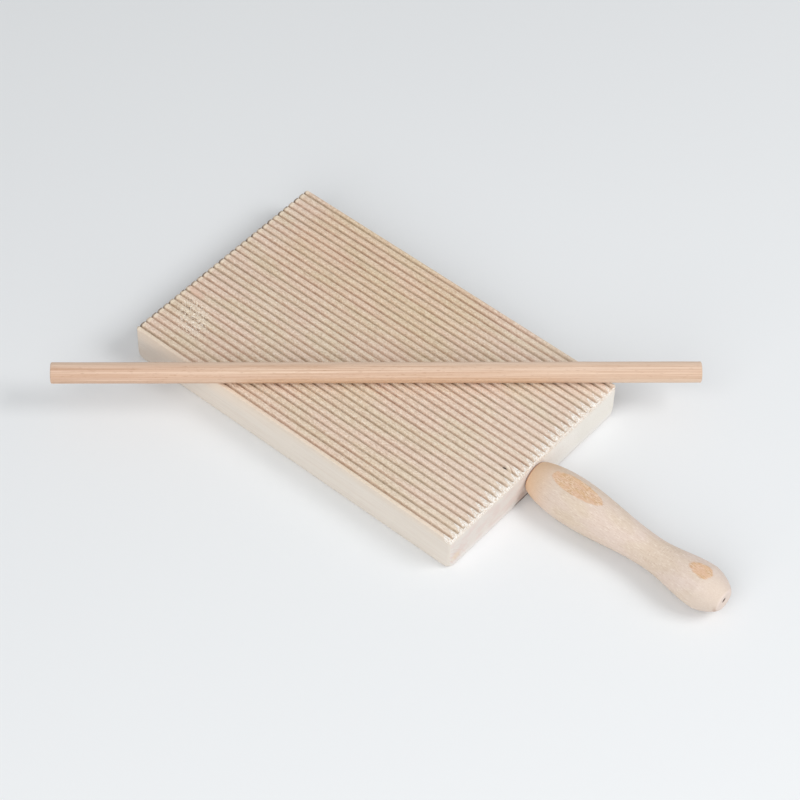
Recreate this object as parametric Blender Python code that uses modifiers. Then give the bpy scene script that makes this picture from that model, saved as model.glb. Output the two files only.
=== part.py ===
"""A ridged wooden board for rolling garganelli, with its turned handle and its loose rolling pin.

Metres, +Z up. The origin is the centre of the board's underside. The ridges run along X, and the
handle points to +X. The rolling pin lies askew across the ridges.
"""

import math

import bmesh
import bpy

# Board
BOARD_LENGTH = 0.191
BOARD_WIDTH = 0.1206
BOARD_THICKNESS = 0.020
UNDERSIDE_EDGE_RADIUS = 0.0025
UPRIGHT_EDGE_RADIUS = 0.0008
RIM_EDGE_RADIUS = 0.0005

# Grooves between the ridges, counted from the +Y edge of the board
GROOVE_PITCH = 0.00385
GROOVE_WIDTH = 0.0023
GROOVE_DEPTH = 0.0012
EDGE_TO_FIRST_GROOVE = 0.0023
EDGE_AFTER_LAST_GROOVE = 0.0015

# Handle, from the board's end face outwards. A fullness of 2 is a plain quarter ellipse.
# Its axis lies a little above the board's middle, and a little off it towards -Y.
AXIS_ABOVE_MIDDLE = 0.0011
AXIS_ACROSS = -0.0004
SHOULDER_DIAMETER = 0.0130
SHOULDER_LENGTH = 0.0213
SHOULDER_FULLNESS = 1.75
SWELL_DIAMETER = 0.0224
SWELL_TO_WAIST = 0.0454
WAIST_DIAMETER = 0.0152
WAIST_TO_PALM = 0.0278
PALM_DIAMETER = 0.0213
NOSE_LENGTH = 0.0115
NOSE_FULLNESS = 1.45
NOSE_DIAMETER = 0.0094
# The bar it was turned from was thinner than the two swells, so its faces are left on them as flats.
BLANK_THICKNESS = 0.0204
LATHE_HOLE_DIAMETER = 0.0020
LATHE_HOLE_DEPTH = 0.004
TENON_DIAMETER = 0.010
TENON_LENGTH = 0.026
TENON_CHAMFER = 0.001

# Rolling pin
PIN_DIAMETER = 0.0098
PIN_LENGTH = 0.2985
PIN_EDGE_RADIUS = 0.0005
PIN_ANGLE = math.radians(41.5)
PIN_CENTRE_X = 0.0101
PIN_CENTRE_Y = -0.0102

# Clearances
PIECE_GAP = 0.0003
BORE_END_CLEARANCE = 0.001
CUT_OVERSHOOT = 0.002

# Fineness of the curved surfaces
EDGE_SEGMENTS = 4
GROOVE_STEPS = 8
TURNED_STEPS = 48
CURVE_STEPS = 12
PIN_SIDES = 40
MERGE_DISTANCE = 0.00001
SHARP_ANGLE = math.radians(35)

# Heights and places that follow from the sizes above
HANDLE_AXIS_HEIGHT = BOARD_THICKNESS / 2 + AXIS_ABOVE_MIDDLE
PIN_AXIS_HEIGHT = BOARD_THICKNESS + PIECE_GAP + PIN_DIAMETER / 2
END_FACE_X = BOARD_LENGTH / 2
WIDEST_EDGE_RADIUS = max(UNDERSIDE_EDGE_RADIUS, UPRIGHT_EDGE_RADIUS, RIM_EDGE_RADIUS)
WAIST_AT = SHOULDER_LENGTH + SWELL_TO_WAIST
PALM_AT = WAIST_AT + WAIST_TO_PALM
HANDLE_LENGTH = PALM_AT + NOSE_LENGTH

# Linear colours, roughness
BOARD_FINISH = ((0.72, 0.56, 0.42), 0.62)
HANDLE_FINISH = ((0.74, 0.58, 0.42), 0.50)
PIN_FINISH = ((0.72, 0.50, 0.34), 0.50)


def clear_scene():
    for old in list(bpy.data.objects):
        bpy.data.objects.remove(old, do_unlink=True)


def new_collection(name):
    collection = bpy.data.collections.new(name)
    bpy.context.scene.collection.children.link(collection)
    return collection


def wood(name, finish):
    colour, roughness = finish
    material = bpy.data.materials.new(name)
    material.use_nodes = True
    shader = material.node_tree.nodes["Principled BSDF"]
    shader.inputs["Base Color"].default_value = (*colour, 1.0)
    shader.inputs["Roughness"].default_value = roughness
    shader.inputs["Metallic"].default_value = 0.0
    return material


def object_from_bmesh(name, mesh_data, collection):
    bmesh.ops.recalc_face_normals(mesh_data, faces=mesh_data.faces)
    mesh = bpy.data.meshes.new(name)
    mesh_data.to_mesh(mesh)
    mesh_data.free()
    piece = bpy.data.objects.new(name, mesh)
    collection.objects.link(piece)
    return piece


def shade_round(piece):
    piece.data.shade_smooth()
    piece.data.set_sharp_from_angle(angle=SHARP_ANGLE)


def cut(piece, cutter, operation="DIFFERENCE"):
    modifier = piece.modifiers.new("cut with " + cutter.name, "BOOLEAN")
    modifier.operation = operation
    modifier.solver = "EXACT"
    modifier.object = cutter


def mark_as_cutter(piece):
    piece.hide_render = True
    piece.display_type = "WIRE"


def plank(collection):
    """The board's blank: a box whose edges carry their own share of the bevel."""
    shape = bmesh.new()
    bmesh.ops.create_cube(shape, size=1.0)
    bmesh.ops.scale(shape, vec=(BOARD_LENGTH, BOARD_WIDTH, BOARD_THICKNESS), verts=shape.verts)
    bmesh.ops.translate(shape, vec=(0, 0, BOARD_THICKNESS / 2), verts=shape.verts)
    share = shape.edges.layers.float.new("bevel_weight_edge")
    for edge in shape.edges:
        low, high = sorted(vert.co.z for vert in edge.verts)
        if high < BOARD_THICKNESS / 2:
            edge[share] = UNDERSIDE_EDGE_RADIUS / WIDEST_EDGE_RADIUS
        elif low > BOARD_THICKNESS / 2:
            edge[share] = RIM_EDGE_RADIUS / WIDEST_EDGE_RADIUS
        else:
            edge[share] = UPRIGHT_EDGE_RADIUS / WIDEST_EDGE_RADIUS
    piece = object_from_bmesh("board", shape, collection)
    rounding = piece.modifiers.new("rounded edges", "BEVEL")
    rounding.limit_method = "WEIGHT"
    rounding.width = WIDEST_EDGE_RADIUS
    rounding.segments = EDGE_SEGMENTS
    return piece


def groove_outline():
    """Across the groove: a smooth trough that leaves the ridges with rounded shoulders."""
    half = GROOVE_WIDTH / 2
    points = [(-half, CUT_OVERSHOOT)]
    for step in range(GROOVE_STEPS + 1):
        across = -half + GROOVE_WIDTH * step / GROOVE_STEPS
        points.append((across, -GROOVE_DEPTH * math.cos(math.pi * across / GROOVE_WIDTH) ** 2))
    points.append((half, CUT_OVERSHOOT))
    return points


def mesh_from_outline(name, outline, depth, collection):
    """A flat closed outline given thickness, as a welded mesh that stands along its local Z."""
    curve = bpy.data.curves.new(name, "CURVE")
    curve.dimensions = "2D"
    curve.fill_mode = "BOTH"
    curve.extrude = depth / 2
    spline = curve.splines.new("POLY")
    spline.points.add(len(outline) - 1)
    for point, (across, up) in zip(spline.points, outline):
        point.co = (across, up, 0, 1)
    spline.use_cyclic_u = True
    flat = bpy.data.objects.new(name + " outline", curve)
    collection.objects.link(flat)
    evaluated = flat.evaluated_get(bpy.context.evaluated_depsgraph_get())
    shape = bmesh.new()
    shape.from_mesh(bpy.data.meshes.new_from_object(evaluated))
    bmesh.ops.remove_doubles(shape, verts=shape.verts, dist=MERGE_DISTANCE)
    bpy.data.objects.remove(flat, do_unlink=True)
    return object_from_bmesh(name, shape, collection)


def groove_cutter(collection):
    """One trough along X, repeated towards -Y by an Array."""
    run = BOARD_WIDTH - EDGE_TO_FIRST_GROOVE - EDGE_AFTER_LAST_GROOVE
    cutter = mesh_from_outline(
        "groove_cutter", groove_outline(), BOARD_LENGTH + 2 * CUT_OVERSHOOT, collection
    )
    # The outline's own axes, across and up, become the board's -Y and +Z.
    cutter.rotation_euler = (math.pi / 2, 0, -math.pi / 2)
    cutter.location = (0, BOARD_WIDTH / 2 - EDGE_TO_FIRST_GROOVE, BOARD_THICKNESS)
    repeat = cutter.modifiers.new("one for each groove", "ARRAY")
    repeat.count = math.floor(run / GROOVE_PITCH) + 1
    repeat.use_relative_offset = False
    repeat.use_constant_offset = True
    repeat.constant_offset_displace = (GROOVE_PITCH, 0, 0)
    mark_as_cutter(cutter)
    return cutter


def bore_cutter(collection):
    """The blind hole in the board's end that takes the handle's tenon."""
    depth = TENON_LENGTH + BORE_END_CLEARANCE
    shape = bmesh.new()
    radius = TENON_DIAMETER / 2 + PIECE_GAP
    bmesh.ops.create_cone(
        shape, cap_ends=True, segments=TURNED_STEPS,
        radius1=radius, radius2=radius, depth=depth + CUT_OVERSHOOT,
    )
    cutter = object_from_bmesh("bore_cutter", shape, collection)
    cutter.rotation_euler = (0, math.pi / 2, 0)
    cutter.location = (END_FACE_X + (CUT_OVERSHOOT - depth) / 2, AXIS_ACROSS, HANDLE_AXIS_HEIGHT)
    mark_as_cutter(cutter)
    return cutter


def make_board(collection, cutters):
    board = plank(collection)
    cut(board, groove_cutter(cutters))
    cut(board, bore_cutter(cutters))
    board.data.materials.append(wood("board wood", BOARD_FINISH))
    return board


def full_arc(share, fullness):
    """Quarter of a superellipse: 0 at share 1, and 1 at share 0."""
    return (1 - share ** fullness) ** (1 / fullness)


def handle_radius(along):
    """The turned outline: a shoulder, a swell, a waist, a palm swell and a blunt nose."""
    shoulder = SHOULDER_DIAMETER / 2
    swell = SWELL_DIAMETER / 2
    waist = WAIST_DIAMETER / 2
    palm = PALM_DIAMETER / 2
    nose = NOSE_DIAMETER / 2
    if along <= SHOULDER_LENGTH:
        share = (SHOULDER_LENGTH - along) / SHOULDER_LENGTH
        return shoulder + (swell - shoulder) * full_arc(share, SHOULDER_FULLNESS)
    if along <= WAIST_AT:
        turn = math.pi * (along - SHOULDER_LENGTH) / SWELL_TO_WAIST
        return waist + (swell - waist) * (1 + math.cos(turn)) / 2
    if along <= PALM_AT:
        turn = math.pi * (along - WAIST_AT) / WAIST_TO_PALM
        return waist + (palm - waist) * (1 - math.cos(turn)) / 2
    share = (along - PALM_AT) / NOSE_LENGTH
    return nose + (palm - nose) * full_arc(min(share, 1.0), NOSE_FULLNESS)


def stations(start, end, closer_at_start=False, closer_at_end=False):
    """Places from start to end, evenly spaced or closer together at one end."""
    places = []
    for step in range(CURVE_STEPS + 1):
        share = step / CURVE_STEPS
        if closer_at_start:
            share = 1 - math.cos(math.pi / 2 * share)
        if closer_at_end:
            share = math.sin(math.pi / 2 * share)
        places.append(start + (end - start) * share)
    return places


def handle_outline():
    """Radius and place along the axis, from the hole in the nose to the end of the tenon."""
    places = stations(PIECE_GAP, SHOULDER_LENGTH, closer_at_start=True)
    places += stations(SHOULDER_LENGTH, WAIST_AT)[1:]
    places += stations(WAIST_AT, PALM_AT)[1:]
    places += stations(PALM_AT, HANDLE_LENGTH, closer_at_end=True)[1:]
    hole = LATHE_HOLE_DIAMETER / 2
    tenon = TENON_DIAMETER / 2
    outline = [(0, HANDLE_LENGTH - LATHE_HOLE_DEPTH)]
    outline.append((hole, HANDLE_LENGTH - LATHE_HOLE_DEPTH + hole))
    outline.append((hole, HANDLE_LENGTH))
    for along in reversed(places):
        outline.append((handle_radius(along), along))
    outline.append((tenon, PIECE_GAP))
    outline.append((tenon, TENON_CHAMFER - TENON_LENGTH))
    outline.append((tenon - TENON_CHAMFER, -TENON_LENGTH))
    outline.append((0, -TENON_LENGTH))
    return outline


def blank_cutter(collection):
    """The bar that the handle was turned from: what lies above or below it is missing."""
    width = max(SWELL_DIAMETER, PALM_DIAMETER) + 2 * CUT_OVERSHOOT
    length = HANDLE_LENGTH + TENON_LENGTH + 2 * CUT_OVERSHOOT
    shape = bmesh.new()
    bmesh.ops.create_cube(shape, size=1.0)
    bmesh.ops.scale(shape, vec=(length, width, BLANK_THICKNESS), verts=shape.verts)
    cutter = object_from_bmesh("handle_blank", shape, collection)
    middle = END_FACE_X + (HANDLE_LENGTH - TENON_LENGTH) / 2
    cutter.location = (middle, AXIS_ACROSS, HANDLE_AXIS_HEIGHT)
    mark_as_cutter(cutter)
    return cutter


def make_handle(collection, cutters):
    shape = bmesh.new()
    verts = [shape.verts.new((radius, 0, along)) for radius, along in handle_outline()]
    for upper, lower in zip(verts, verts[1:]):
        shape.edges.new((upper, lower))
    mesh = bpy.data.meshes.new("handle")
    shape.to_mesh(mesh)
    shape.free()
    handle = bpy.data.objects.new("handle", mesh)
    collection.objects.link(handle)
    turning = handle.modifiers.new("turned on the lathe", "SCREW")
    turning.axis = "Z"
    turning.steps = TURNED_STEPS
    turning.render_steps = TURNED_STEPS
    turning.use_merge_vertices = True
    turning.merge_threshold = MERGE_DISTANCE
    turning.use_smooth_shade = True
    # The lathe's axis lies along X, out of the board's end face.
    handle.rotation_euler = (0, math.pi / 2, 0)
    handle.location = (END_FACE_X, AXIS_ACROSS, HANDLE_AXIS_HEIGHT)
    cut(handle, blank_cutter(cutters), "INTERSECT")
    handle.data.materials.append(wood("handle wood", HANDLE_FINISH))
    return handle


def make_rolling_pin(collection):
    shape = bmesh.new()
    bmesh.ops.create_cone(
        shape, cap_ends=True, segments=PIN_SIDES,
        radius1=PIN_DIAMETER / 2, radius2=PIN_DIAMETER / 2, depth=PIN_LENGTH,
    )
    pin = object_from_bmesh("rolling_pin", shape, collection)
    rounding = pin.modifiers.new("softened ends", "BEVEL")
    rounding.limit_method = "ANGLE"
    rounding.angle_limit = SHARP_ANGLE
    rounding.width = PIN_EDGE_RADIUS
    rounding.segments = 2
    shade_round(pin)
    # Its axis is level, turned away from the ridges, with the origin at its middle.
    pin.rotation_euler = (0, math.pi / 2, PIN_ANGLE)
    pin.location = (PIN_CENTRE_X, PIN_CENTRE_Y, PIN_AXIS_HEIGHT)
    pin.data.materials.append(wood("rolling pin wood", PIN_FINISH))
    return pin


def main():
    clear_scene()
    parts = new_collection("garganelli_board")
    cutters = new_collection("cutters")
    base = bpy.data.objects.new("underside_centre", None)
    parts.objects.link(base)
    board = make_board(parts, cutters)
    handle = make_handle(parts, cutters)
    pin = make_rolling_pin(parts)
    for piece in (board, handle, pin):
        piece.parent = base


main()
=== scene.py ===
"""Looks of the garganelli board: the ploughed board, its turned handle and its loose rolling pin.

The pieces are made in millimetres and brought to metres at the end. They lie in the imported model's
own frame: the ridges run along X, the handle points to +X and the board stands on Z = 0. The near
end is the handle's, and the far end the one at -X.
"""

import math

import bmesh
import bpy
import numpy as np
from mathutils import Matrix, Vector


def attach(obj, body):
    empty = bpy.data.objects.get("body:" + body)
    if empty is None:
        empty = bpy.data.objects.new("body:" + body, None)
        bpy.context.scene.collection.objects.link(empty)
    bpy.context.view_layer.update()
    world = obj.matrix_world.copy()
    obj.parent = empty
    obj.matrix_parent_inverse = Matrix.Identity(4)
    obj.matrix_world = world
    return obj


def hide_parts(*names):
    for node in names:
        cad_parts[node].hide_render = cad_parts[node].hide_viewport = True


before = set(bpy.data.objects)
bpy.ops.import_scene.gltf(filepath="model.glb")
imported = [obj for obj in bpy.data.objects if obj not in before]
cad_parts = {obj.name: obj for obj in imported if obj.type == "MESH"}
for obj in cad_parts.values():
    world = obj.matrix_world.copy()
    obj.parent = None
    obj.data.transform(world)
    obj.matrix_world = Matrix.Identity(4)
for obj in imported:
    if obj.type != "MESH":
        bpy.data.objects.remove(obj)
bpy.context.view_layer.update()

MM = 0.001

# Board, in millimetres
BOARD_LENGTH = 191.0
BOARD_WIDTH = 120.6
BOARD_THICKNESS = 20.0
UNDERSIDE_RADIUS = 1.7
UNDERSIDE_BEVEL = 0.4
UNDERSIDE_NARROWER_ACROSS = 0.6
UPRIGHT_RADIUS = 1.8
RIM_RADIUS = 0.5
# The upright edges are rounder at the foot, up to this height.
FOOT_RADIUS = 4.2
FOOT_HEIGHT = 5.0
PITCH = 3.85
GROOVE_WIDTH = 2.3
GROOVE_DEPTH = 1.2
EDGE_TO_FIRST_GROOVE = 2.3
GROOVES = 31

# Handle, along its axis from the board's end face
AXIS_HEIGHT = 11.1
AXIS_ACROSS = -0.4
SHOULDER_RADIUS = 6.5
SHOULDER_LENGTH = 21.3
SHOULDER_FULLNESS = 1.75
SWELL_RADIUS = 11.2
WAIST_AT = 66.7
WAIST_RADIUS = 7.6
PALM_AT = 94.5
PALM_RADIUS = 10.65
NOSE_LENGTH = 11.5
NOSE_FULLNESS = 1.45
NOSE_RADIUS = 4.7
HANDLE_LENGTH = PALM_AT + NOSE_LENGTH
BLANK_THICKNESS = 20.4
LATHE_HOLE_RADIUS = 1.0
LATHE_HOLE_DEPTH = 4.0
LATHE_HOLE_LIP = 0.35
LATHE_HOLE_LIP_DEPTH = 0.8
TENON_RADIUS = 5.0
TENON_LENGTH = 26.0
TENON_CHAMFER = 1.0
BORE_END_CLEARANCE = 1.0
PIECE_GAP = 0.3

# Rolling pin
PIN_RADIUS = 4.9
PIN_LENGTH = 298.5
PIN_EDGE_RADIUS = 0.5
PIN_ANGLE = math.radians(41.5)
PIN_CENTRE = (10.1, -10.2, 25.2)

HALF_LENGTH = BOARD_LENGTH / 2
HALF_WIDTH = BOARD_WIDTH / 2
FIRST_GROOVE = HALF_WIDTH - EDGE_TO_FIRST_GROOVE
LAST_GROOVE = FIRST_GROOVE - PITCH * (GROOVES - 1)
GROOVED_ABOVE = 18.0
TORN_PATCH = (-80.0, -37.5)
TORN_PATCH_REACH = (11.5, 9.0)
TORN_PATCH_LEAN = 0.6


class Wire:
    """An output socket of a node. Arithmetic on it adds Math nodes to its tree."""

    def __init__(self, nodes, socket):
        self.nodes = nodes
        self.socket = socket

    def out(self, name):
        return Wire(self.nodes, self.socket.node.outputs[name])

    def math(self, operation, *others):
        return self.nodes.math(operation, self, *others)

    def __add__(self, other):
        return self.math("ADD", other)

    def __radd__(self, other):
        return self.nodes.math("ADD", other, self)

    def __sub__(self, other):
        return self.math("SUBTRACT", other)

    def __rsub__(self, other):
        return self.nodes.math("SUBTRACT", other, self)

    def __mul__(self, other):
        return self.math("MULTIPLY", other)

    def __truediv__(self, other):
        return self.math("DIVIDE", other)

    def __pow__(self, other):
        return self.math("POWER", other)

    def __abs__(self):
        return self.math("ABSOLUTE")

    def __lt__(self, other):
        return self.math("LESS_THAN", other)

    def __gt__(self, other):
        return self.math("GREATER_THAN", other)

    def rise(self, start, end):
        """0 up to start and 1 from end on, with a smooth step between them."""
        settings = {"interpolation_type": "SMOOTHSTEP"}
        return self.nodes.add("ShaderNodeMapRange", settings, {0: self, 1: start, 2: end})


# White noise is asked about whole numbers this far apart.
CHANCE_STEP = 7.3


class Nodes:
    """Adds nodes to one tree. A value is a number, a vector, a colour or a wire."""

    def __init__(self, tree):
        self.tree = tree

    def add(self, kind, settings=None, values=None, out=0):
        node = self.tree.nodes.new(kind)
        for name, value in (settings or {}).items():
            setattr(node, name, value)
        for key, value in (values or {}).items():
            socket = node.inputs[key]
            if isinstance(value, Wire):
                self.tree.links.new(value.socket, socket)
            else:
                socket.default_value = value
        return Wire(self, node.outputs[out]) if len(node.outputs) else None

    def math(self, operation, *values):
        return self.add("ShaderNodeMath", {"operation": operation}, dict(enumerate(values)))

    def vector(self, x, y, z):
        return self.add("ShaderNodeCombineXYZ", None, {0: x, 1: y, 2: z})

    def parts(self, vector):
        split = self.add("ShaderNodeSeparateXYZ", None, {0: vector})
        return split, split.out("Y"), split.out("Z")

    def scaled(self, vector, scale):
        return self.add("ShaderNodeVectorMath", {"operation": "MULTIPLY"}, {0: vector, 1: scale})

    def moved(self, vector, step):
        return self.add("ShaderNodeVectorMath", {"operation": "ADD"}, {0: vector, 1: step})

    def distance(self, vector):
        return self.add("ShaderNodeVectorMath", {"operation": "LENGTH"}, {0: vector}, out=1)

    def noise(self, vector, scale, detail=2.0, roughness=0.5):
        """Noise from 0 to 1, with its own scale along each axis."""
        values = {
            "Vector": self.scaled(vector, scale),
            "Scale": 1.0,
            "Detail": detail,
            "Roughness": roughness,
        }
        return self.add("ShaderNodeTexNoise", None, values)

    def chance(self, number, seed):
        """A fixed random number from 0 to 1 for each whole number."""
        apart = number * CHANCE_STEP + seed
        return self.add("ShaderNodeTexWhiteNoise", {"noise_dimensions": "1D"}, {"W": apart})

    def mix(self, factor, first, second, blend="MIX"):
        settings = {"data_type": "RGBA", "blend_type": blend}
        return self.add("ShaderNodeMix", settings, {0: factor, 6: first, 7: second}, out=2)


def paint(red, green, blue):
    """A colour given in levels from 0 to 255, made linear."""
    linear = []
    for level in (red, green, blue):
        share = level / 255
        linear.append(share / 12.92 if share <= 0.04045 else ((share + 0.055) / 1.055) ** 2.4)
    return (*linear, 1.0)


class Recipe:
    """A Geometry Nodes tree with named inputs, and the plain mesh that it makes."""

    def __init__(self, name, inputs):
        self.tree = bpy.data.node_groups.new(name, "GeometryNodeTree")
        ends = self.tree.interface
        ends.new_socket("Geometry", in_out="INPUT", socket_type="NodeSocketGeometry")
        for label, kind in inputs.items():
            ends.new_socket(label, in_out="INPUT", socket_type=kind)
        ends.new_socket("Geometry", in_out="OUTPUT", socket_type="NodeSocketGeometry")
        self.nodes = Nodes(self.tree)
        self.given = self.nodes.add("NodeGroupInput")

    def finish(self, geometry, material):
        real = self.nodes.add("GeometryNodeRealizeInstances", None, {"Geometry": geometry})
        values = {"Geometry": real, "Material": material}
        finished = self.nodes.add("GeometryNodeSetMaterial", None, values)
        self.nodes.add("NodeGroupOutput", None, {0: finished})

    def make(self, name, base, values):
        carrier = bpy.data.objects.new(name, base)
        bpy.context.scene.collection.objects.link(carrier)
        modifier = carrier.modifiers.new(self.tree.name, "NODES")
        modifier.node_group = self.tree
        for item in self.tree.interface.items_tree:
            if item.in_out == "INPUT" and item.name in values:
                modifier[item.identifier] = values[item.name]
        bpy.context.view_layer.update()
        graph = bpy.context.evaluated_depsgraph_get()
        made = bpy.data.meshes.new_from_object(
            carrier.evaluated_get(graph), preserve_all_data_layers=True, depsgraph=graph
        )
        carrier.modifiers.remove(modifier)
        bpy.data.objects.remove(carrier, do_unlink=True)
        made.name = name
        return made


def mesh_from(name, verts, faces):
    mesh = bpy.data.meshes.new(name)
    mesh.from_pydata([tuple(v) for v in verts], [], faces)
    mesh.update()
    return mesh


def as_piece(mesh, sharp_angle=None):
    """Brings a mesh from millimetres to metres and puts it in the scene."""
    mesh.transform(Matrix.Scale(MM, 4))
    mesh.shade_smooth()
    if sharp_angle is not None:
        mesh.set_sharp_from_angle(angle=sharp_angle)
    piece = bpy.data.objects.new(mesh.name, mesh)
    bpy.context.scene.collection.objects.link(piece)
    return piece


def evenly(start, end, step):
    """Places from start to end, both included, about one step apart."""
    count = max(1, round(abs(end - start) / step))
    return list(np.linspace(start, end, count + 1))


# Board

ROUNDING_STEPS = 4
# The rows of points on the top lie this far apart, from the far end to the near one. The last two
# stretches start at the places given here.
FAR_TIPS_ROW = 0.4
PATCH_ROW = 0.5
PLAIN_ROW = 1.4
CHIPPED_ROW = 0.5
TORN_TIPS_ROW = 0.22
CHIPPED_FROM = 84.0
TIPS_TORN_FROM = 89.0
# Columns in each groove, the shares of a crest at which it has one, and their spacing on the -Y edge.
GROOVE_COLUMNS = 9
CREST_COLUMNS = (0.25, 0.5, 0.75)
LAST_EDGE_COLUMN = 0.4
# The rings of points on the walls, above the rounding of the underside.
WALL_HEIGHTS = (17.6, 9.0, FOOT_HEIGHT, 3.6, 2.6)


def rim_places():
    """Distances from an upper edge that follow its rounding."""
    angles = np.linspace(0, math.pi / 2, ROUNDING_STEPS + 1)
    return list(RIM_RADIUS * (1 - np.cos(angles)))


def rows_along():
    """Places along X: closer together at both ends and where the grain is torn."""
    rim = rim_places()
    patch_start = TORN_PATCH[0] - TORN_PATCH_REACH[0]
    patch_end = TORN_PATCH[0] + TORN_PATCH_REACH[0]
    rows = [-HALF_LENGTH + place for place in rim]
    rows += evenly(-HALF_LENGTH + RIM_RADIUS, patch_start, FAR_TIPS_ROW)[1:]
    rows += evenly(patch_start, patch_end, PATCH_ROW)[1:]
    rows += evenly(patch_end, CHIPPED_FROM, PLAIN_ROW)[1:]
    rows += evenly(CHIPPED_FROM, TIPS_TORN_FROM, CHIPPED_ROW)[1:]
    rows += evenly(TIPS_TORN_FROM, HALF_LENGTH - RIM_RADIUS, TORN_TIPS_ROW)[1:]
    rows += [HALF_LENGTH - place for place in reversed(rim[:-1])]
    return rows


def columns_across():
    """Places along -Y, with the same few in each groove and on each ridge."""
    rim = rim_places()
    columns = [HALF_WIDTH - place for place in rim[:-1]]
    crest = PITCH - GROOVE_WIDTH
    for groove in range(GROOVES):
        centre = FIRST_GROOVE - PITCH * groove
        columns += list(centre + np.linspace(GROOVE_WIDTH / 2, -GROOVE_WIDTH / 2, GROOVE_COLUMNS))
        if groove < GROOVES - 1:
            columns += [centre - GROOVE_WIDTH / 2 - crest * share for share in CREST_COLUMNS]
    columns += evenly(columns[-1], -HALF_WIDTH + RIM_RADIUS, LAST_EDGE_COLUMN)[1:]
    columns += [-HALF_WIDTH + place for place in reversed(rim[:-1])]
    return columns


def rounded_corner(x, y, radius=UPRIGHT_RADIUS):
    """Squeezes the square corner of the plan into a quarter round."""
    over_x = abs(x) - (HALF_LENGTH - radius)
    over_y = abs(y) - (HALF_WIDTH - radius)
    if over_x <= 0 or over_y <= 0:
        return x, y
    squeeze = max(over_x, over_y) / math.hypot(over_x, over_y)
    new_x = HALF_LENGTH - radius + over_x * squeeze
    new_y = HALF_WIDTH - radius + over_y * squeeze
    return math.copysign(new_x, x), math.copysign(new_y, y)


def rim_drop(x, y):
    """How far the rounding of the upper edges has taken the top down."""
    inside = min(HALF_LENGTH - abs(x), HALF_WIDTH - abs(y))
    if inside >= RIM_RADIUS:
        return 0.0
    return RIM_RADIUS - math.sqrt(RIM_RADIUS**2 - (RIM_RADIUS - inside) ** 2)


def board_blank():
    """The planed blank: a fine grid on top, plain walls and a rounded underside."""
    rows = rows_along()
    columns = columns_across()
    verts = []
    for x in rows:
        for y in columns:
            verts.append((*rounded_corner(x, y), BOARD_THICKNESS - rim_drop(x, y)))
    wide = len(columns)
    faces = []
    for row in range(len(rows) - 1):
        for column in range(wide - 1):
            corner = row * wide + column
            faces.append((corner, corner + 1, corner + wide + 1, corner + wide))
    last_row = (len(rows) - 1) * wide
    loop = list(range(wide))
    loop += [row * wide + wide - 1 for row in range(1, len(rows))]
    loop += [last_row + column for column in range(wide - 2, -1, -1)]
    loop += [row * wide for row in range(len(rows) - 2, 0, -1)]

    # Each level of the walls is a distance inwards and a height.
    levels = [(0.0, height) for height in WALL_HEIGHTS]
    for angle in np.linspace(0, math.pi / 2, ROUNDING_STEPS + 1):
        inset = UNDERSIDE_RADIUS * (1 - math.cos(angle))
        levels.append((inset, UNDERSIDE_RADIUS * (1 - math.sin(angle))))
    levels.append((UNDERSIDE_RADIUS + UNDERSIDE_BEVEL, 0.0))
    square = [(rows[index // wide], columns[index % wide]) for index in loop]
    above = loop
    for inset, height in levels:
        worn = max(0.0, 1 - height / FOOT_HEIGHT) ** 2
        radius = UPRIGHT_RADIUS + (FOOT_RADIUS - UPRIGHT_RADIUS) * worn
        below = []
        for corner in square:
            x, y = rounded_corner(*corner, radius)
            below.append(len(verts))
            along = x * (1 - inset / HALF_LENGTH)
            across = y * (1 - inset * UNDERSIDE_NARROWER_ACROSS / HALF_WIDTH)
            verts.append((along, across, height))
        for here in range(len(loop)):
            after = (here + 1) % len(loop)
            faces.append((above[here], below[here], below[after], above[after]))
        above = below
    faces.append(tuple(reversed(above)))
    return mesh_from("board blank", verts, faces)


BORE_SIDES = 48
# Length over which a torn tip runs out into whole wood
TORN_EDGE_SOFTNESS = 0.8


def bored(nodes, given):
    """The blank with the blind hole for the tenon."""
    axis = nodes.vector(given.out("Near End"), given.out("Bore Across"), given.out("Bore Height"))
    drill = nodes.add("GeometryNodeMeshCylinder", None, {
        "Vertices": BORE_SIDES,
        "Radius": given.out("Bore Radius"),
        "Depth": given.out("Bore Length") * 2,
    })
    drill = nodes.add("GeometryNodeTransform", None, {
        "Geometry": drill,
        "Translation": axis,
        "Rotation": (0.0, math.pi / 2, 0.0),
    })
    return nodes.add("GeometryNodeMeshBoolean", {"operation": "DIFFERENCE", "solver": "EXACT"}, {
        "Mesh 1": given.out("Geometry"),
        "Mesh 2": drill,
    })


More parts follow.
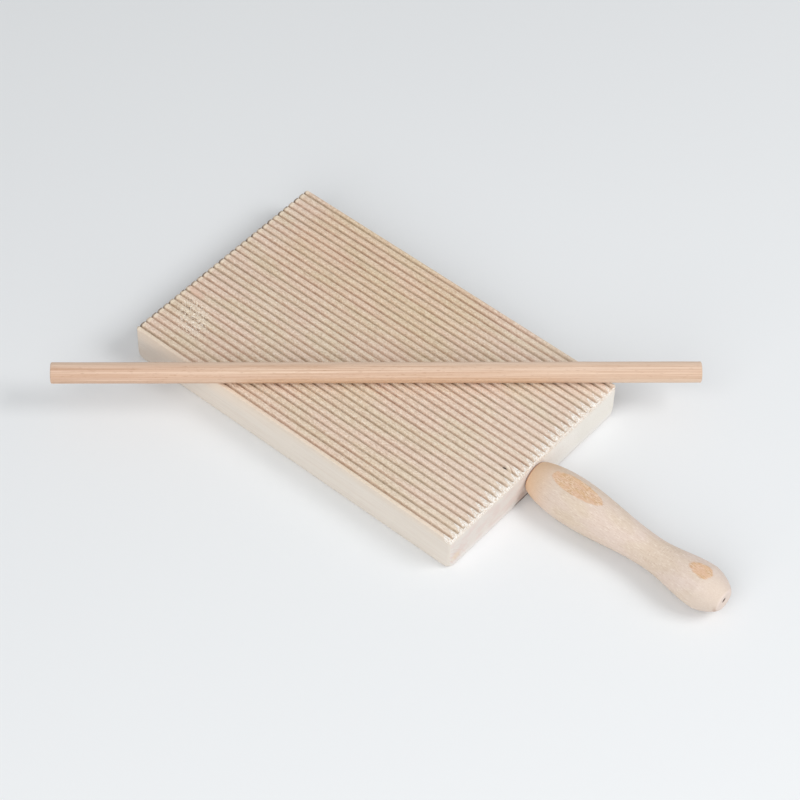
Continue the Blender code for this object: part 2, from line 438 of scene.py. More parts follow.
def ploughing():
    """Bores the blank for the tenon, cuts the grooves and tears the tips of the ridges."""
    recipe = Recipe("ploughed board", {
        "Pitch": "NodeSocketFloat",
        "Groove Width": "NodeSocketFloat",
        "Groove Depth": "NodeSocketFloat",
        "First Groove": "NodeSocketFloat",
        "Last Groove": "NodeSocketFloat",
        "Grooved Above": "NodeSocketFloat",
        "Near End": "NodeSocketFloat",
        "Far Tip Length": "NodeSocketFloat",
        "Far Tip Drop": "NodeSocketFloat",
        "Torn Length": "NodeSocketFloat",
        "Torn Slant": "NodeSocketFloat",
        "Torn Depth": "NodeSocketFloat",
        "Patch Place": "NodeSocketVector",
        "Patch Reach": "NodeSocketVector",
        "Patch Lean": "NodeSocketFloat",
        "Waviness": "NodeSocketFloat",
        "Bore Radius": "NodeSocketFloat",
        "Bore Length": "NodeSocketFloat",
        "Bore Across": "NodeSocketFloat",
        "Bore Height": "NodeSocketFloat",
        "Seed": "NodeSocketFloat",
        "Material": "NodeSocketMaterial",
    })
    nodes = recipe.nodes
    given = recipe.given
    near_end = given.out("Near End")
    place = nodes.add("GeometryNodeInputPosition")
    x, y, z = nodes.parts(place)
    grooved = z > given.out("Grooved Above")
    pitch = given.out("Pitch")
    first = given.out("First Groove")
    steps = (first - y) / pitch
    last = ((first - given.out("Last Groove")) / pitch).math("ROUND")
    nearest = steps.math("ROUND").math("MAXIMUM", 0.0).math("MINIMUM", last)
    off = (steps - nearest) * pitch
    width = given.out("Groove Width")
    trough = (off / width * math.pi).math("COSINE") ** 2.0 * (abs(off) < width / 2)
    ridge = steps.math("FLOOR")
    across = steps - ridge
    luck = nodes.chance(ridge, given.out("Seed"))

    # Torn tips: each ridge loses its own length, and more of it on the side towards +Y.
    from_end = near_end - x
    ragged_front = nodes.noise(place, (0.05, 1.1, 0.0), detail=2.0) - 0.5
    own_length = given.out("Torn Length") * (luck * 0.6 + 0.7)
    torn_length = own_length + given.out("Torn Slant") * (0.5 - across)
    at_end = (torn_length + ragged_front * 3.0 - from_end).rise(0.0, TORN_EDGE_SOFTNESS)
    tufts = nodes.noise(place, (0.6, 2.2, 0.6), detail=3.0, roughness=0.65)
    shreds = nodes.noise(place, (0.45, 5.0, 0.45), detail=1.0)
    torn_off = at_end * given.out("Torn Depth") * (tufts * 1.5 + shreds - 0.75)
    worn_off = from_end.rise(2.4, 0.0) * (luck * 0.25 + 0.1)
    drop = torn_off + worn_off

    # A torn patch near the far end, which leans across the ridges.
    reach_x, reach_y = nodes.parts(given.out("Patch Reach"))[:2]
    patch_x, patch_y = nodes.parts(given.out("Patch Place"))[:2]
    along = (x - patch_x) / reach_x
    leaning = (y - patch_y) / reach_y + along * given.out("Patch Lean")
    away = along ** 2.0 + leaning ** 2.0
    plucked = nodes.noise(place, (0.9, 2.4, 0.6), detail=2.0)
    in_patch = away.rise(1.0, 0.4) * plucked.rise(0.50, 0.60)
    drop = drop + in_patch * 0.3

    # The tips are worn round at the far end, and shreds fill the grooves' ends at the near end.
    far_tip = (x + near_end).rise(given.out("Far Tip Length") * (luck * 0.4 + 0.8), 0.0)
    drop = drop + far_tip ** 1.5 * given.out("Far Tip Drop")
    open_part = 1 - from_end.rise(1.7, 0.5) * 0.85
    wave = (nodes.noise(place, (0.02, 0.35, 0.0), detail=1.0) - 0.5) * given.out("Waviness")
    depth = given.out("Groove Depth") * (nodes.noise(place, (0.015, 0.26, 0.0)) * 0.3 + 0.85)
    height = z + wave - depth * trough * open_part - drop * (1 - trough * 0.6)
    pulled_out = (tufts + shreds * 0.8 - 0.65).math("MAXIMUM", 0.0)
    ragged = from_end.rise(1.5, 0.0) * pulled_out * 1.3
    ploughed = nodes.add("GeometryNodeSetPosition", None, {
        "Geometry": bored(nodes, given),
        "Selection": grooved,
        "Position": nodes.vector(x - ragged, y, height),
    })
    # The finish and the fibres read how far the wood is torn: less so down in the grooves.
    torn_here = at_end * (1 - trough * (from_end.rise(0.6, 1.8) * 0.5 + 0.5))
    torn_here = torn_here.math("MAXIMUM", in_patch * 0.3) * grooved
    on_points = {"data_type": "FLOAT", "domain": "POINT"}
    marked = nodes.add("GeometryNodeStoreNamedAttribute", on_points, {
        "Geometry": ploughed,
        "Name": "torn",
        "Value": torn_here,
    })
    recipe.finish(marked, given.out("Material"))
    return recipe


# Fibres grow where the surface faces up by this much, and are turned between these two.
LEAST_FACING_UP = 0.3
LEAST_TURN = (0.0, -0.30, -0.30)
MOST_TURN = (6.28, 0.08, 0.30)


def fraying():
    """Sets small loose fibres wherever the wood is torn."""
    recipe = Recipe("torn fibres", {
        "Fibre": "NodeSocketObject",
        "Fibres per Area": "NodeSocketFloat",
        "Shortest": "NodeSocketFloat",
        "Longest": "NodeSocketFloat",
        "Seed": "NodeSocketInt",
        "Material": "NodeSocketMaterial",
    })
    nodes = recipe.nodes
    given = recipe.given
    torn = nodes.add("GeometryNodeInputNamedAttribute", {"data_type": "FLOAT"}, {"Name": "torn"})
    facing_up = nodes.parts(nodes.add("GeometryNodeInputNormal"))[2]
    points = nodes.add("GeometryNodeDistributePointsOnFaces", {"distribute_method": "RANDOM"}, {
        "Mesh": given.out("Geometry"),
        "Selection": facing_up > LEAST_FACING_UP,
        "Density": given.out("Fibres per Area") * torn,
        "Seed": given.out("Seed"),
    })
    turn = nodes.add("FunctionNodeRandomValue", {"data_type": "FLOAT_VECTOR"}, {
        "Min": LEAST_TURN,
        "Max": MOST_TURN,
        "Seed": given.out("Seed"),
    })
    size = nodes.add("FunctionNodeRandomValue", {"data_type": "FLOAT"}, {
        2: given.out("Shortest"),
        3: given.out("Longest"),
        "Seed": given.out("Seed"),
    }, out=1)
    fibre = nodes.add("GeometryNodeObjectInfo", None, {"Object": given.out("Fibre")})
    placed = nodes.add("GeometryNodeInstanceOnPoints", None, {
        "Points": points,
        "Instance": fibre.out("Geometry"),
        "Rotation": turn,
        "Scale": size,
    })
    recipe.finish(placed, given.out("Material"))
    return recipe


# Rings of a fibre 1 mm long: the place along it, half its width and the height of its middle.
FIBRE_RINGS = ((-0.35, 0.04, -0.06), (0.0, 0.10, 0.0), (0.4, 0.08, 0.03), (0.65, 0.02, 0.05))
# Its cross-section: a diamond a little flatter than it is wide.
FIBRE_SECTION = ((1, 0), (0, 0.7), (-1, 0), (0, -0.7))


def fibre_shape():
    """One closed sliver along X, rooted a little below the surface that it is torn from."""
    verts = []
    for along, thick, up in FIBRE_RINGS:
        for side, lift in FIBRE_SECTION:
            verts.append((along, side * thick, up + lift * thick))
    sides = len(FIBRE_SECTION)
    root = tuple(range(sides))
    point = tuple(range(len(verts) - 1, len(verts) - 1 - sides, -1))
    faces = [root, point]
    for ring in range(len(FIBRE_RINGS) - 1):
        for side in range(sides):
            here = ring * sides + side
            after = ring * sides + (side + 1) % sides
            faces.append((here, here + sides, after + sides, after))
    return mesh_from("fibre", verts, faces)


# Handle and rolling pin

def full_arc(share, fullness):
    """Quarter of a superellipse: 0 at share 1, and 1 at share 0."""
    return (1 - share**fullness) ** (1 / fullness)


def handle_radius(along):
    """The turned outline: a shoulder, a swell, a waist, a palm swell and a blunt nose."""
    if along <= SHOULDER_LENGTH:
        share = (SHOULDER_LENGTH - along) / SHOULDER_LENGTH
        rise = SWELL_RADIUS - SHOULDER_RADIUS
        return SHOULDER_RADIUS + rise * full_arc(share, SHOULDER_FULLNESS)
    if along <= WAIST_AT:
        turn = math.pi * (along - SHOULDER_LENGTH) / (WAIST_AT - SHOULDER_LENGTH)
        return WAIST_RADIUS + (SWELL_RADIUS - WAIST_RADIUS) * (1 + math.cos(turn)) / 2
    if along <= PALM_AT:
        turn = math.pi * (along - WAIST_AT) / (PALM_AT - WAIST_AT)
        return WAIST_RADIUS + (PALM_RADIUS - WAIST_RADIUS) * (1 - math.cos(turn)) / 2
    share = min((along - PALM_AT) / NOSE_LENGTH, 1.0)
    return NOSE_RADIUS + (PALM_RADIUS - NOSE_RADIUS) * full_arc(share, NOSE_FULLNESS)


def turned(name, outline, sides):
    """A closed body turned about X from places along it and radii, with a point at each end."""
    verts = [(outline[0][0], 0.0, 0.0)]
    for along, radius in outline[1:-1]:
        for side in range(sides):
            angle = 2 * math.pi * side / sides
            verts.append((along, radius * math.cos(angle), radius * math.sin(angle)))
    verts.append((outline[-1][0], 0.0, 0.0))
    faces = []
    rings = len(outline) - 2
    for side in range(sides):
        after = (side + 1) % sides
        faces.append((0, 1 + after, 1 + side))
        for ring in range(rings - 1):
            here = 1 + ring * sides
            faces.append((here + side, here + after, here + sides + after, here + sides + side))
        end = 1 + (rings - 1) * sides
        faces.append((end + side, end + after, len(verts) - 1))
    return mesh_from(name, verts, faces)


def facing_outwards(mesh):
    """Turns every face of a closed mesh to point out of it."""
    shape = bmesh.new()
    shape.from_mesh(mesh)
    bmesh.ops.recalc_face_normals(shape, faces=shape.faces)
    shape.to_mesh(mesh)
    shape.free()
    return mesh


HANDLE_SIDES = 112
SHOULDER_STEPS = 14
HANDLE_STEP = 0.7
NOSE_STEPS = 18
# The chisel left the handle very slightly rippled, more so in some places than in others.
RIPPLE_HEIGHT = 0.025
RIPPLES = 1.9
RIPPLE_CHANGES = 0.31


def handle_mesh():
    """Tenon, shoulder, swells and nose, with the flats that the blank left on both swells."""
    shoulder = evenly(0.0, 1.0, 1 / SHOULDER_STEPS)
    nose = evenly(0, 1, 1 / NOSE_STEPS)[1:]
    places = [PIECE_GAP + (SHOULDER_LENGTH - PIECE_GAP) * share**2 for share in shoulder]
    places += evenly(SHOULDER_LENGTH, PALM_AT, HANDLE_STEP)[1:]
    places += [PALM_AT + NOSE_LENGTH * math.sin(math.pi / 2 * share) for share in nose]
    outline = [
        (-TENON_LENGTH, 0.0),
        (-TENON_LENGTH, TENON_RADIUS - TENON_CHAMFER),
        (TENON_CHAMFER - TENON_LENGTH, TENON_RADIUS),
        (PIECE_GAP, TENON_RADIUS),
    ]
    for along in places:
        ripple = RIPPLE_HEIGHT * math.sin(along * RIPPLES) * math.sin(along * RIPPLE_CHANGES)
        outline.append((along, handle_radius(along) + ripple))
    hole_end = HANDLE_LENGTH - LATHE_HOLE_DEPTH
    outline += [
        (HANDLE_LENGTH - LATHE_HOLE_LIP, LATHE_HOLE_RADIUS + LATHE_HOLE_LIP),
        (HANDLE_LENGTH - LATHE_HOLE_LIP_DEPTH, LATHE_HOLE_RADIUS),
        (hole_end + LATHE_HOLE_RADIUS, LATHE_HOLE_RADIUS),
        (hole_end, 0.0),
    ]
    mesh = turned("turned_handle", outline, HANDLE_SIDES)
    flat = BLANK_THICKNESS / 2
    for vert in mesh.vertices:
        x, y, z = vert.co
        vert.co = (x + HALF_LENGTH, y + AXIS_ACROSS, max(-flat, min(flat, z)) + AXIS_HEIGHT)
    return facing_outwards(mesh)


PIN_SIDES = 64
PIN_STEP = 1.6
PIN_END_STRETCH = 1.2
PIN_FACE_RINGS = (1.6, 3.2)
# Sanding left the dowel a little thicker here and thinner there.
PIN_SANDED_OFF = 0.02
PIN_UNEVENNESS = 0.035


def pin_mesh():
    """A dowel that isn't equally thick all along, with softened ends."""
    half = PIN_LENGTH / 2
    angles = np.linspace(0, math.pi / 2, ROUNDING_STEPS + 1)
    rim = [PIN_EDGE_RADIUS * (1 - math.cos(angle)) for angle in angles]
    soft = [PIN_RADIUS - PIN_EDGE_RADIUS + PIN_EDGE_RADIUS * math.sin(angle) for angle in angles]
    outline = [(-half, 0.0)]
    outline += [(-half, radius) for radius in PIN_FACE_RINGS]
    outline += [(-half + along, radius) for along, radius in zip(rim, soft)]
    for along in evenly(-half + PIN_END_STRETCH, half - PIN_END_STRETCH, PIN_STEP):
        worn = PIN_UNEVENNESS * math.sin(along * 0.21 + 1.0) * math.sin(along * 0.077)
        outline.append((along, PIN_RADIUS - PIN_SANDED_OFF + worn))
    outline += [(half - along, radius) for along, radius in zip(reversed(rim), reversed(soft))]
    outline += [(half, radius) for radius in reversed(PIN_FACE_RINGS)]
    outline.append((half, 0.0))
    mesh = turned("dowel", outline, PIN_SIDES)
    mesh.transform(Matrix.Translation(PIN_CENTRE) @ Matrix.Rotation(PIN_ANGLE, 4, "Z"))
    return facing_outwards(mesh)


# Finishes

WOOD_SPECULAR = 0.3


def new_finish(name):
    """A new material, its nodes, and a place on the piece in millimetres."""
    material = bpy.data.materials.new(name)
    material.use_nodes = True
    material.node_tree.nodes.clear()
    nodes = Nodes(material.node_tree)
    place = nodes.scaled(nodes.add("ShaderNodeTexCoord").out("Object"), (1 / MM,) * 3)
    return material, nodes, place


def surface(nodes, colour, roughness, relief, relief_height):
    """The wood's shader. The relief runs from 0 to 1 over a height in millimetres."""
    bump = nodes.add("ShaderNodeBump", None, {
        "Strength": 1.0,
        "Distance": relief_height * MM,
        "Height": relief,
    })
    shader = nodes.add("ShaderNodeBsdfPrincipled", None, {
        "Base Color": colour,
        "Roughness": roughness,
        "Specular IOR Level": WOOD_SPECULAR,
        "Normal": bump,
    })
    nodes.add("ShaderNodeOutputMaterial", None, {"Surface": shader})


def oval(along, across, long, wide):
    """0 in the middle of an oval mark and 1 at its edge. It takes distances from the middle."""
    return (along / long) ** 2.0 + (across / wide) ** 2.0


def round_mark(nodes, across, height, wide, high):
    """1 in the middle of a soft round mark on the end face, and 0 at its edge."""
    return nodes.distance(nodes.vector(0.0, across / wide, height / high)).rise(1.0, 0.2)


# Heights between which a groove darkens
GROOVE_RIM = 19.75
GROOVE_FLOOR = 18.95
# The middle of the tree, in Y and Z, and how close its rings lie, in radians to a millimetre
RING_CENTRE = (-66.0, -4.0)
RING_CLOSENESS = 2.6


def groove_dirt_and_shade(nodes, place, colour):
    """The grooves are darker, browner in some and greyer in others, apart from their near ends."""
    x, _, z = nodes.parts(place)
    by_groove = nodes.noise(place, (0.03, 0.26, 0.0), detail=2.0)
    patchy = nodes.noise(place, (0.35, 0.26, 0.0), detail=1.0)
    deep = z.rise(GROOVE_RIM, GROOVE_FLOOR) * (z > 17.5) * x.rise(95.2, 92.0)
    greyer = nodes.noise(place, (0.01, 0.5, 0.0)).rise(0.4, 0.6)
    # The grooves' dark tint is partly dirt and partly painted shade.
    dirt_and_shade = nodes.mix(greyer, paint(152, 108, 80), paint(140, 116, 88))
    return nodes.mix(deep * (by_groove * 0.5 + patchy * 0.5 - 0.03), colour, dirt_and_shade)


def planed_sides(nodes, place, colour, streaks):
    """The planed sides are paler, warm along their tops, with the pin's shadow painted at the far
    foot.
    """
    x, y, z = nodes.parts(place)
    side = abs(y).rise(HALF_WIDTH - 0.45, HALF_WIDTH - 0.1)
    corner = abs(x).rise(HALF_LENGTH - 2.2, HALF_LENGTH - 1.5)
    corner = corner * abs(y).rise(HALF_WIDTH - 2.0, HALF_WIDTH - 1.3)
    side = side.math("MAXIMUM", corner * z.rise(19.7, 19.3))
    side_wood = nodes.mix(streaks.rise(0.4, 0.7) * 0.5, paint(229, 220, 209), paint(219, 206, 193))
    side_wood = nodes.mix(z.rise(15.5, 19.8) * 0.7, side_wood, paint(226, 210, 192))
    warm_top = z.rise(9.0, 17.0) * x.rise(20.0, -60.0)
    side_wood = nodes.mix(warm_top * 0.5, side_wood, paint(240, 219, 198))
    # Painted shadow of the pin on the foot of the wall at the far end.
    painted_pin_shadow = (z - (x + 88.0) * 0.35).rise(16.0, 7.0)
    painted_pin_shadow = painted_pin_shadow * x.rise(-62.0, -84.0) * y.rise(10.0, -10.0)
    side_wood = nodes.mix(painted_pin_shadow * 0.42, side_wood, paint(196, 178, 163))
    return nodes.mix(side, colour, side_wood)


def end_grain(nodes, place, colour):
    """The end walls. The near one shows the tree's rings, strongest in its -Y corner."""
    x, y, z = nodes.parts(place)
    rings = nodes.distance(nodes.vector(0.0, y - RING_CENTRE[0], z - RING_CENTRE[1]))
    wander = nodes.noise(place, (0.0, 0.09, 0.2), detail=2.0) * 4
    line = ((rings + wander) * RING_CLOSENESS).math("SINE").rise(0.2, 1.0)
    pores = nodes.noise(place, (0.5, 2.0, 2.0), detail=2.0).rise(0.5, 0.75) * 0.4
    flush = nodes.noise(place, (0.0, 0.12, 0.2), detail=1.0).rise(0.4, 0.65)
    near_wood = nodes.mix(flush, paint(229, 221, 214), paint(227, 213, 206))
    near_wood = nodes.mix(y.rise(-4.0, 30.0), near_wood, paint(239, 235, 227))
    # Painted light beside the handle, lifting the shade that the handle casts.
    near_wood = nodes.mix(abs(y - 16.0).rise(22.0, 6.0) * 0.7, near_wood, paint(249, 245, 239))
    near_wood = nodes.mix(pores, near_wood, paint(220, 208, 200))
    near_wood = nodes.mix(z.rise(15.0, 19.0) * 0.5, near_wood, paint(238, 231, 221))
    near_wood = nodes.mix(line * rings.rise(26.0, 8.0) * 0.6, near_wood, paint(220, 194, 184))
    yellow_corner = round_mark(nodes, y + 56.0, z - 6.5, 4.5, 3.5)
    near_wood = nodes.mix(yellow_corner * 0.5, near_wood, paint(232, 212, 184))
    # Painted bounce light from the table, paler towards the foot.
    near_wood = nodes.mix(z.rise(5.5, 0.5) * 0.65, near_wood, paint(240, 237, 235))

    # Painted shade under the handle, and a painted shadow along the foot there.
    painted_handle_shade = round_mark(nodes, y + 9.0, z - 4.0, 5.5, 4.5)
    near_wood = nodes.mix(painted_handle_shade * 0.55, near_wood, paint(186, 156, 142))
    painted_foot_shadow = z.rise(2.7, 1.9) * abs(y + 6.0).rise(9.5, 6.0)
    near_wood = nodes.mix(painted_foot_shadow * 0.9, near_wood, paint(88, 60, 50))
    colour = nodes.mix(x.rise(HALF_LENGTH - 0.7, HALF_LENGTH - 0.2), colour, near_wood)

    # The far end is plain end grain.
    far_wood = nodes.mix(flush, paint(231, 220, 208), paint(226, 210, 198))
    far_wood = nodes.mix(line * 0.35, far_wood, paint(216, 192, 178))
    far_wood = nodes.mix(pores, far_wood, paint(214, 198, 186))
    far_wall = (x + HALF_LENGTH).rise(0.9, 0.3) * z.rise(18.6, 17.8)
    return nodes.mix(far_wall, colour, far_wood)


def far_tips(nodes, place, colour):
    """Painted highlight on the far tips, and painted shade where they turn down, more on some."""
    x, _, z = nodes.parts(place)
    from_far_end = x + HALF_LENGTH
    # Painted highlight on the tips.
    painted_light = from_far_end.rise(3.0, 1.9) * z.rise(19.0, 19.3)
    colour = nodes.mix(painted_light * 0.5, colour, paint(250, 237, 214))
    some = nodes.noise(place, (0.0, 0.24, 0.0), detail=1.0).rise(0.44, 0.58)
    # Painted shade where the tips turn down, away from the light.
    painted_tip_shade = from_far_end.rise(1.4, 0.9) * z.rise(18.3, 18.8)
    return nodes.mix(painted_tip_shade * (some * 0.6 + 0.3), colour, paint(132, 116, 104))


def torn_places(nodes, place, colour, mottling):
    """Torn wood is nearly white. The torn patch has pale flecks and dark nicks as well."""
    x, y, z = nodes.parts(place)
    torn = nodes.add("ShaderNodeAttribute", {"attribute_name": "torn"}).out("Fac")
    fuzz = nodes.noise(place, (1.1, 2.2, 1.5), detail=2.0)
    torn_wood = nodes.mix(fuzz.rise(0.60, 0.42), paint(254, 250, 244), paint(230, 216, 201))
    bare = torn.rise(0.05, 0.4) * (fuzz.rise(0.25, 0.50) * 0.25 + 0.75)
    colour = nodes.mix(bare, colour, torn_wood)

    along = (x - TORN_PATCH[0]) / TORN_PATCH_REACH[0]
    leaning = (y - TORN_PATCH[1]) / TORN_PATCH_REACH[1] + along * TORN_PATCH_LEAN
    in_patch = (along ** 2.0 + leaning ** 2.0 + (mottling - 0.5) * 2.5).rise(1.2, 0.5)
    flecks = nodes.noise(nodes.moved(place, (2.0, 7.0, 0.0)), (1.1, 2.6, 1.0), detail=1.0)
    colour = nodes.mix(in_patch * flecks.rise(0.55, 0.61) * 0.9, colour, paint(254, 243, 226))
    nicks = nodes.noise(nodes.moved(place, (5.0, 2.0, 0.0)), (0.8, 2.6, 1.0), detail=1.0)
    nicked = in_patch * nicks.rise(0.56, 0.64) * z.rise(19.9, 19.4)
    return nodes.mix(nicked * 0.8, colour, paint(112, 86, 66))


def small_damage(nodes, place, colour):
    """A small chip with a crack running on from it, and a dent at the far end."""
    x, y, _ = nodes.parts(place)
    chip = oval(x - 86.5, y + 11.7, 1.0, 0.6)
    split = oval(x - 88.8, y + 10.9 + (x - 88.8) * 0.4, 2.0, 0.5)
    crack = oval(x - 89.8, y + 10.5 + (x - 89.8) * 0.45, 2.4, 0.28)
    dent = oval(x + 89.5, y + 24.9 + (x + 89.5) * 0.1, 5.5, 1.7)
    colour = nodes.mix(split.rise(1.6, 0.7) * 0.6, colour, paint(250, 236, 216))
    colour = nodes.mix(crack.rise(1.5, 0.6) * 0.4, colour, paint(160, 130, 104))
    colour = nodes.mix(chip.rise(1.8, 0.9), colour, paint(42, 28, 20))
    return nodes.mix(dent.rise(1.4, 0.4) * 0.45, colour, paint(226, 186, 166))


def beech_for_board():
    material, nodes, place = new_finish("ploughed beech")
    x, y, _ = nodes.parts(place)
    blotches = nodes.noise(place, (0.03, 0.09, 0.09), detail=2.0)
    streaks = nodes.noise(place, (0.03, 1.2, 1.2), detail=4.0, roughness=0.6)
    pale_flecks = nodes.noise(place, (0.40, 2.3, 2.3), detail=1.0)
    dark_flecks = nodes.noise(nodes.moved(place, (40.0, 17.0, 9.0)), (0.34, 2.6, 2.6), detail=1.0)
    mottling = nodes.noise(nodes.moved(place, (9.0, 52.0, 4.0)), (0.8, 1.5, 1.5), detail=2.0)
    fibres = nodes.noise(place, (0.22, 5.0, 5.0), detail=2.0)

    colour = nodes.mix(blotches.rise(0.35, 0.65), paint(235, 211, 193), paint(229, 212, 187))
    colour = nodes.mix(streaks.rise(0.45, 0.70) * 0.45, colour, paint(214, 186, 162))
    colour = nodes.mix(pale_flecks.rise(0.56, 0.70) * 0.6, colour, paint(248, 236, 222))
    colour = nodes.mix(dark_flecks.rise(0.60, 0.72) * 0.5, colour, paint(192, 156, 130))
    colour = nodes.mix(mottling.rise(0.66, 0.40) * 0.25, colour, paint(210, 184, 160))
    specks = nodes.noise(nodes.moved(place, (3.0, 8.0, 61.0)), (1.1, 1.5, 1.5), detail=2.0)
    colour = nodes.mix(specks.rise(0.48, 0.34), colour, (0.87, 0.86, 0.85, 1.0), blend="MULTIPLY")
    colour = nodes.mix(specks.rise(0.52, 0.66) * 0.45, colour, paint(252, 238, 220))
    towards_handle = x.rise(30.0, 92.0)
    colour = nodes.mix(towards_handle * 0.28, colour, paint(242, 230, 217))
    yellower = y.rise(-10.0, 35.0) * x.rise(45.0, 0.0) * x.rise(-88.0, -72.0)
    colour = nodes.mix(yellower, colour, (0.985, 0.955, 0.895, 1.0), blend="MULTIPLY")
    colour = groove_dirt_and_shade(nodes, place, colour)
    # Painted highlight along the last ridge by the -Y edge.
    painted_last_ridge_highlight = y.rise(LAST_GROOVE - 0.9, LAST_GROOVE - 1.5)
    colour = nodes.mix(painted_last_ridge_highlight * 0.6, colour, paint(240, 224, 205))
    colour = planed_sides(nodes, place, colour, streaks)
    colour = end_grain(nodes, place, colour)
    colour = far_tips(nodes, place, colour)
    colour = torn_places(nodes, place, colour, mottling)
    colour = small_damage(nodes, place, colour)

    rough = 0.64 + fibres * 0.14
    relief = streaks * 0.3 + fibres * 0.4 + pale_flecks * 0.5 - dark_flecks * 0.3
    surface(nodes, colour, rough, relief, 0.16)
    return material


def beech_for_fibres():
    material, nodes, place = new_finish("torn beech fibres")
    shade = nodes.noise(place, (0.8, 0.8, 0.8), detail=1.0)
    colour = nodes.mix(shade.rise(0.35, 0.65), paint(250, 242, 230), paint(236, 222, 205))
    surface(nodes, colour, 0.8 - shade * 0.1, shade, 0.02)
    return material


# Places on the handle, along X
SWELL_FLAT_END = 150.0
PALM_FLAT_START = 170.0
MOST_TOOL_RINGS = 167.0
NOSE_FACET = 200.6
# How close the chisel's rings lie, in radians to a millimetre, and the ring that it left on the nose
TOOL_RINGS = 4.2
NOSE_RING_RADIUS = 6.2


def beech_for_handle():
    material, nodes, place = new_finish("turned beech")
    x, y, z = nodes.parts(place)
    clouds = nodes.noise(place, (0.05, 0.10, 0.10), detail=2.0)
    grain = nodes.noise(place, (0.09, 1.3, 1.3), detail=3.0, roughness=0.6)
    pale_flecks = nodes.noise(place, (0.45, 2.4, 2.4), detail=1.0)
    pores = nodes.noise(nodes.moved(place, (31.0, 7.0, 3.0)), (0.40, 3.2, 3.2), detail=1.0)
    colour = nodes.mix(clouds.rise(0.38, 0.62), paint(227, 209, 197), paint(223, 205, 187))
    colour = nodes.mix(grain.rise(0.42, 0.72) * 0.32, colour, paint(206, 182, 163))
    colour = nodes.mix(pale_flecks.rise(0.55, 0.70) * 0.4, colour, paint(247, 235, 223))
    colour = nodes.mix(pores.rise(0.60, 0.72) * 0.4, colour, paint(196, 166, 143))

    # Faint rings that the chisel left, broken here and there, most of them past the waist.
    tool_rings = (x * TOOL_RINGS + (clouds - 0.5) * 6).math("SINE")
    broken = nodes.noise(place, (0.10, 0.35, 0.35), detail=2.0).rise(0.50, 0.66)
    past_waist = abs(x - MOST_TOOL_RINGS).rise(12.0, 4.0)
    ringed = tool_rings.rise(0.3, 1.0) * broken * (past_waist * 0.22 + 0.06)
    colour = nodes.mix(ringed, colour, paint(190, 165, 145))

    # Dull at the nose, painted shade on the waist's -Y side, a little darker round the first swell.
    colour = nodes.mix(x.rise(185.0, 195.0) * 0.5, colour, paint(216, 200, 188))
    painted_low_side_shade = (AXIS_ACROSS - y).rise(1.0, 8.0) * x.rise(120.0, 145.0) * x.rise(190.0, 170.0)
    colour = nodes.mix(painted_low_side_shade, colour, (0.975, 0.965, 0.955, 1.0), blend="MULTIPLY")
    colour = nodes.mix(x.rise(150.0, 118.0), colour, (0.965, 0.96, 0.93, 1.0), blend="MULTIPLY")

    # Painted warm bounce light from the board's end, and painted shade as a dark line in the joint.
    painted_bounce_near_board = (x + (grain - 0.5) * 4).rise(113.0, 96.0)
    colour = nodes.mix(painted_bounce_near_board * 0.75, colour, paint(222, 184, 146))
    colour = nodes.mix(x.rise(96.7, 95.9) * 0.7, colour, paint(150, 92, 66))

    # The flats above and below are sawn and not turned, and the one at the palm is smaller.
    from_axis = abs(z - AXIS_HEIGHT)
    saw_marks = nodes.noise(place, (0.55, 2.2, 2.2), detail=3.0, roughness=0.65)
    stains = nodes.noise(place, (0.16, 0.55, 0.55), detail=2.0)
    at_palm = x.rise(SWELL_FLAT_END, PALM_FLAT_START)
    from_flat = from_axis - BLANK_THICKNESS / 2 + (saw_marks - 0.5) * (at_palm * 0.5 + 0.16)
    sawn = from_flat.rise(-0.10 - at_palm * 0.24, at_palm * -0.04)
    sawn_wood = nodes.mix(saw_marks.rise(0.42, 0.58), paint(238, 210, 184), paint(205, 163, 121))
    sawn_wood = nodes.mix(stains.rise(0.40, 0.62) * 0.6, sawn_wood, paint(221, 179, 134))
    pinkish = nodes.noise(nodes.moved(place, (4.0, 9.0, 2.0)), (0.2, 0.4, 0.4), detail=1.0)
    sawn_wood = nodes.mix(pinkish.rise(0.45, 0.60) * 0.45, sawn_wood, paint(226, 184, 156))
    colour = nodes.mix(sawn * 0.85, colour, sawn_wood)

    # The nose: a ring left by the parting chisel, a paler facet, painted shade in the centre hole.
    away = nodes.distance(nodes.vector(0.0, y - AXIS_ACROSS, z - AXIS_HEIGHT))
    facet = x.rise(NOSE_FACET, NOSE_FACET + 0.7)
    colour = nodes.mix(facet * 0.5, colour, paint(238, 221, 212))
    ring = abs(away - NOSE_RING_RADIUS).rise(0.8, 0.1) * (x > 196.0)
    ring = ring * z.rise(AXIS_HEIGHT + 2, AXIS_HEIGHT - 4)
    colour = nodes.mix(ring * 0.5, colour, paint(178, 132, 106))
    painted_hole_shade = away.rise(LATHE_HOLE_RADIUS + 0.35, LATHE_HOLE_RADIUS) * (x > 190.0)
    colour = nodes.mix(painted_hole_shade, colour, paint(72, 46, 38))

    rough = 0.5 + grain * 0.12 + sawn * 0.2
    relief = grain * 0.35 + pores * 0.15 + (x * TOOL_RINGS).math("SINE") * 0.06
    relief = relief + saw_marks * sawn * 1.5
    surface(nodes, colour, rough, relief, 0.08)
    return material


# How far across the pin a place is seen from the camera: +4.9 at its upper limb, -4.9 at its lower.
SEEN_ACROSS = (0.765, 0.643)


